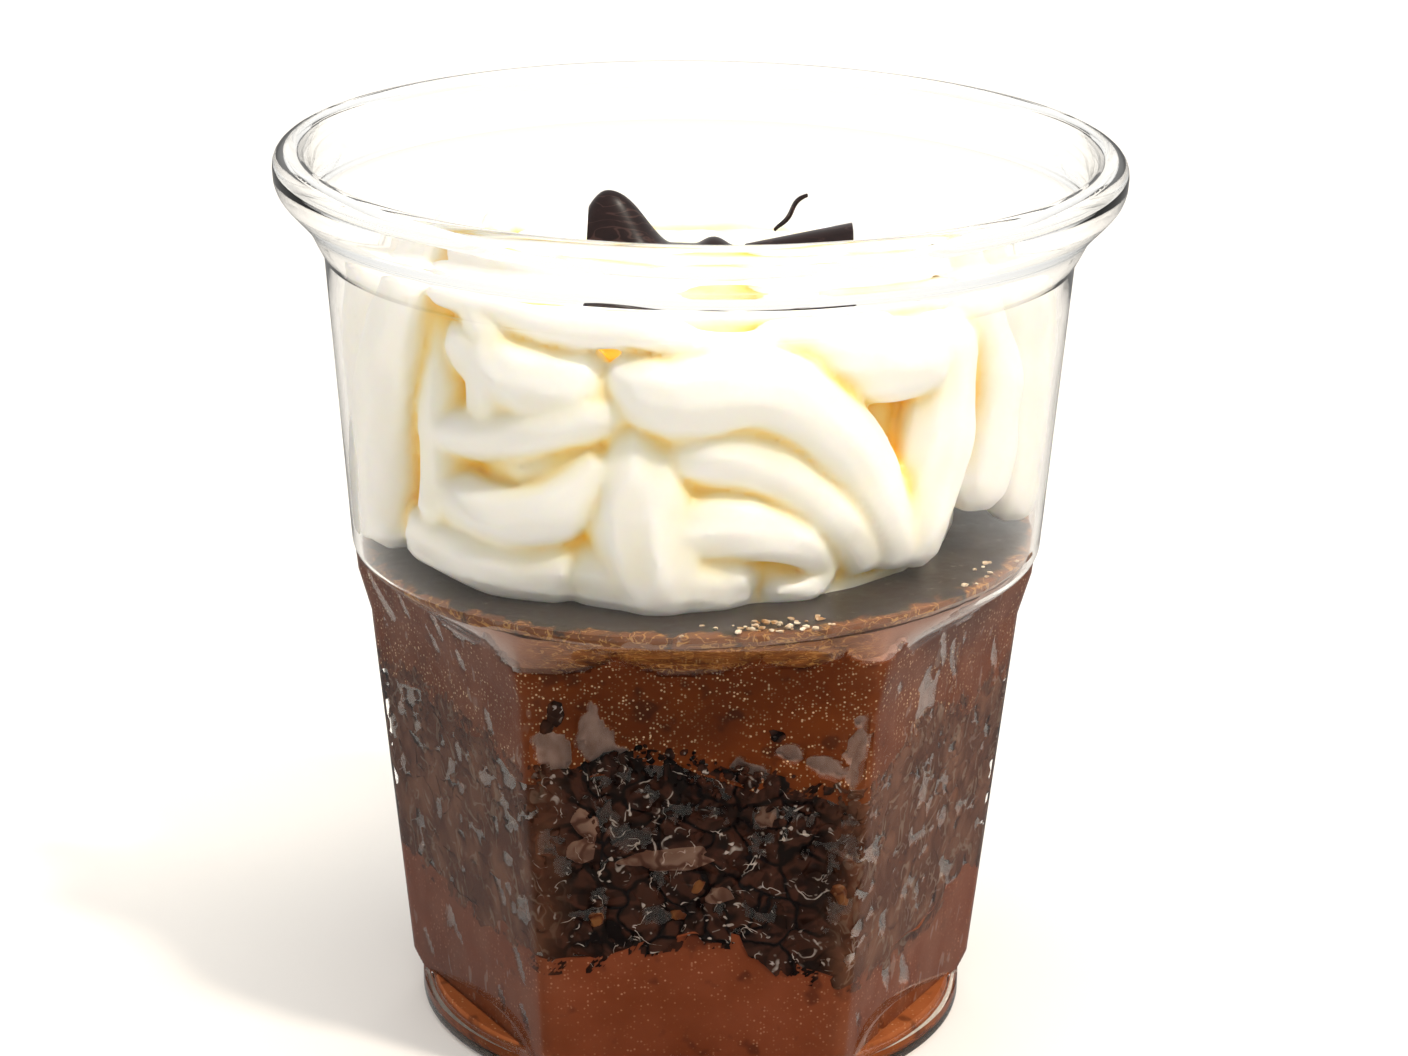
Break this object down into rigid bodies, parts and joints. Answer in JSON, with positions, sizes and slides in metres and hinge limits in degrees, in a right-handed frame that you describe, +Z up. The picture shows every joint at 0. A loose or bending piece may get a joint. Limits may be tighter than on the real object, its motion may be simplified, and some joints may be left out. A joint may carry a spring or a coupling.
{
  "type": "chocolate mousse dessert cup",
  "caption": "Layered chocolate mousse in a clear faceted tumbler, topped with folds of whipped cream and dark chocolate shavings.",
  "frame": {"origin": "middle of the foot ring's underside, on the surface it stands on", "axes": "+Z up along the cup's axis; -Y is the front, square to one facet; +X is a corner of the six-sided lower body"},
  "size_m": [0.092, 0.092, 0.1],
  "materials": {
    "clear_plastic": "clear moulded plastic, thin and glossy",
    "lower_mousse": "rosy brown chocolate mousse with fine air bubbles",
    "sauced_cake": "near-black chocolate cake pieces wet with sauce",
    "upper_mousse": "warm dark brown chocolate mousse with fine bright grains",
    "ganache": "dark set ganache, satin",
    "cream": "soft whipped cream, satin, ivory in its hollows",
    "dark_chocolate": "dark chocolate with a satin shine"
  },
  "bodies": {
    "root": {"cup": "clear_plastic", "bottom_mousse": "lower_mousse", "cake_layer": "sauced_cake", "top_mousse": "upper_mousse", "dark_glaze": "ganache", "whipped_cream": "cream", "chocolate_flake": "dark_chocolate", "chocolate_roll": "dark_chocolate"}
  },
  "joints": []
}
